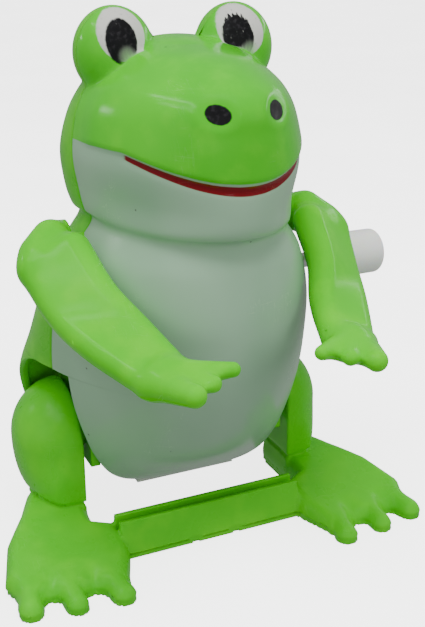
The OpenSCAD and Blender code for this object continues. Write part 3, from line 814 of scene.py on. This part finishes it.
def coil_tree(material):
    """A wire coil along X: turns, length, coil radius and wire radius are its inputs, in metres."""
    tree = bpy.data.node_groups.new("wire_coil", "GeometryNodeTree")
    inputs = {}
    for name, kind in (("Turns", "NodeSocketFloat"), ("Length", "NodeSocketFloat"),
                       ("Coil radius", "NodeSocketFloat"), ("Wire radius", "NodeSocketFloat")):
        inputs[name] = tree.interface.new_socket(name, in_out="INPUT", socket_type=kind).identifier
    tree.interface.new_socket("Geometry", in_out="OUTPUT", socket_type="NodeSocketGeometry")
    nodes, link = tree.nodes, tree.links.new
    given, result = nodes.new("NodeGroupInput"), nodes.new("NodeGroupOutput")
    spiral = nodes.new("GeometryNodeCurveSpiral")
    spiral.inputs["Resolution"].default_value = 40
    for socket in ("Start Radius", "End Radius"):
        link(given.outputs["Coil radius"], spiral.inputs[socket])
    link(given.outputs["Turns"], spiral.inputs["Rotations"])
    link(given.outputs["Length"], spiral.inputs["Height"])
    wire = nodes.new("GeometryNodeCurvePrimitiveCircle")
    wire.inputs["Resolution"].default_value = 12
    link(given.outputs["Wire radius"], wire.inputs["Radius"])
    sweep = nodes.new("GeometryNodeCurveToMesh")
    sweep.inputs["Fill Caps"].default_value = True
    link(spiral.outputs["Curve"], sweep.inputs["Curve"])
    link(wire.outputs["Curve"], sweep.inputs["Profile Curve"])
    turn = nodes.new("GeometryNodeTransform")
    turn.inputs["Rotation"].default_value = (0, math.pi / 2, 0)
    link(sweep.outputs["Mesh"], turn.inputs["Geometry"])
    shade = nodes.new("GeometryNodeSetShadeSmooth")
    link(turn.outputs["Geometry"], shade.inputs["Geometry"])
    realise = nodes.new("GeometryNodeRealizeInstances")
    link(shade.outputs["Geometry"], realise.inputs["Geometry"])
    coat = nodes.new("GeometryNodeSetMaterial")
    coat.inputs["Material"].default_value = material
    link(realise.outputs["Geometry"], coat.inputs["Geometry"])
    link(coat.outputs["Geometry"], result.inputs["Geometry"])
    return tree, inputs


def hip_spring(tree, inputs, node, material):
    """A coil that fills the same space as its CAD node."""
    low, high = cad(node)
    wire = SPRING_WIRE_R
    holder = bpy.data.objects.new(node + "_maker", bpy.data.meshes.new(node + "_maker"))
    bpy.context.scene.collection.objects.link(holder)
    modifier = holder.modifiers.new("coil", "NODES")
    modifier.node_group = tree
    sizes = {"Turns": SPRING_TURNS, "Length": (high[0] - low[0] - 2 * wire) * MM,
             "Coil radius": ((high[2] - low[2]) / 2 - wire) * MM, "Wire radius": wire * MM}
    for name, value in sizes.items():
        modifier[inputs[name]] = value
    bpy.context.view_layer.update()
    mesh = bpy.data.meshes.new_from_object(holder.evaluated_get(bpy.context.evaluated_depsgraph_get()))
    bpy.data.objects.remove(holder)
    mesh.transform(Matrix.Translation(Vector(((low[0] + wire) * MM, HIP[1] * MM, HIP[2] * MM))))
    coil = bpy.data.objects.new(node + "_coil", mesh)
    bpy.context.scene.collection.objects.link(coil)
    coil.data.materials.clear()
    coil.data.materials.append(material)
    return coil


# ---- studio ----
# name, place, size, watts, and whether its reflection shows
LAMPS = [
    ("ceiling", (-40, -90, 420), (240, 200), 1.35, False),
    ("tube", (-200, 0, 330), (320, 12), 0.16, True),
    ("second_tube", (-245, -20, 296), (200, 7), 0.06, True),
    ("cheek_lamp", (-262, 225, 174), (50, 26), 0.03, True),
    ("eye_lamp", (-7, -298, 246), (9, 60), 0.02, True),
    ("strip", (330, 100, 170), (260, 14), 0.06, True),
    ("left", (-340, -60, 160), (200, 200), 0.2, False),
    ("front_right", (250, -330, 190), (220, 220), 0.5, False),
    ("right", (320, 140, 180), (60, 260), 0.18, False),
    ("low_front", (-120, -420, 60), (300, 80), 0.16, False)]
LAMP_AIM = (0, 6, 36)
ROOM_LIGHT = 0.36
FLOOR_SIZE = 3000


def add_light(name, place, size, watts, reflected):
    lamp = bpy.data.lights.new(name, "AREA")
    lamp.shape = "RECTANGLE"
    lamp.size, lamp.size_y = size[0] * MM, size[1] * MM
    lamp.energy = watts
    thing = bpy.data.objects.new(name, lamp)
    thing.location = Vector(place) * MM
    thing.rotation_mode = "QUATERNION"
    thing.rotation_quaternion = (Vector(LAMP_AIM) - Vector(place)).to_track_quat("-Z", "Y")
    thing.visible_glossy = reflected
    bpy.context.scene.collection.objects.link(thing)


def add_studio():
    world = bpy.data.worlds.new("studio")
    world.use_nodes = True
    world.node_tree.nodes["Background"].inputs["Color"].default_value = (1, 1, 1, 1)
    world.node_tree.nodes["Background"].inputs["Strength"].default_value = ROOM_LIGHT
    bpy.context.scene.world = world
    for lamp in LAMPS:
        add_light(*lamp)
    corners = [(-FLOOR_SIZE, -FLOOR_SIZE, 0), (FLOOR_SIZE, -FLOOR_SIZE, 0),
               (FLOOR_SIZE, FLOOR_SIZE, 0), (-FLOOR_SIZE, FLOOR_SIZE, 0)]
    floor = make_mesh("floor", corners, [[0, 1, 2, 3]], pale_floor("pale_floor"))
    floor.visible_diffuse = False
    floor.visible_glossy = False


# ---- assembly ----
def put(thing, body, slot, *nodes):
    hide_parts(*nodes)
    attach(thing, body)


def build():
    face = painted_face("painted_white_plastic")
    back = moulded("green_shell_plastic", *SHELL_GREENS, 0.24, 0.15)
    limbs = moulded("green_limb_plastic", *LIMB_GREENS, 0.16, 0.2)
    legs = moulded("green_leg_plastic", *LEG_GREENS, 0.24, 0.15)
    milk = moulded("milky_knob_plastic", *KNOB_WHITES, 0.30, 0.5)
    steel = turned_steel("turned_steel", rgb(0.62, 0.62, 0.63), 0.25)
    spring = turned_steel("spring_steel", rgb(0.38, 0.40, 0.44), 0.3)
    case = dull_plastic("motor_case_plastic", rgb(0.62, 0.65, 0.60), rgb(0.50, 0.54, 0.50))
    gears = dull_plastic("gear_plastic", rgb(0.72, 0.66, 0.48), rgb(0.60, 0.53, 0.36))

    put(make_mesh("front_shell_skin", *shell_half("front"), face), "body", "front_shell", "front_shell")
    put(make_mesh("back_shell_skin", *shell_half("back"), back), "body", "green_plastic", "back_shell")
    recess = skin(recess_field, *RECESS_BOX, RECESS_GRID)
    put(make_mesh("left_recess_wall", *recess, back), "body", "green_plastic", "back_shell")
    put(make_mesh("right_recess_wall", *mirrored(*recess), back), "body", "green_plastic", "back_shell")
    arm = skin(arm_field, *ARM_BOX, GRID)
    put(make_mesh("left_arm_skin", *arm, limbs), "left_arm", "green_plastic", "arm_left")
    put(make_mesh("right_arm_skin", *mirrored(*arm), limbs), "right_arm", "green_plastic", "arm_right")
    leg = skin(leg_field, *LEG_BOX, GRID, mirror=True)
    leg[0][:, 2] = np.maximum(leg[0][:, 2], 0)
    put(make_mesh("leg_frame_skin", *leg, legs), "legs", "green_plastic", "leg_frame")
    knob = lathe(knob_profile(*cad("winding_knob")), ARBOR)
    put(make_mesh("winding_knob_skin", *knob, milk), "winding", "knob_plastic", "winding_knob")
    tree, inputs = coil_tree(spring)
    for side in ("left", "right"):
        node = "hip_spring_" + side
        put(hip_spring(tree, inputs, node, spring), "body", "spring_steel", node)

    finishes = {"motor_case": case, "great_wheel": gears, "second_wheel": gears, "cam_wheel": gears,
                "escape_wheel": gears, "pallet": gears, "mainspring": spring, "winding_arbor": steel,
                "second_arbor": steel, "cam_shaft": steel, "crank": steel, "escape_arbor": steel,
                "pallet_pin": steel, "hip_pin": steel}
    for name, node in frame["nodes"].items():
        kind = max((k for k in finishes if name.startswith(k)), key=len, default=None)
        if kind:
            node.data.materials.clear()
            node.data.materials.append(finishes[kind])


add_camera()
add_studio()
build()
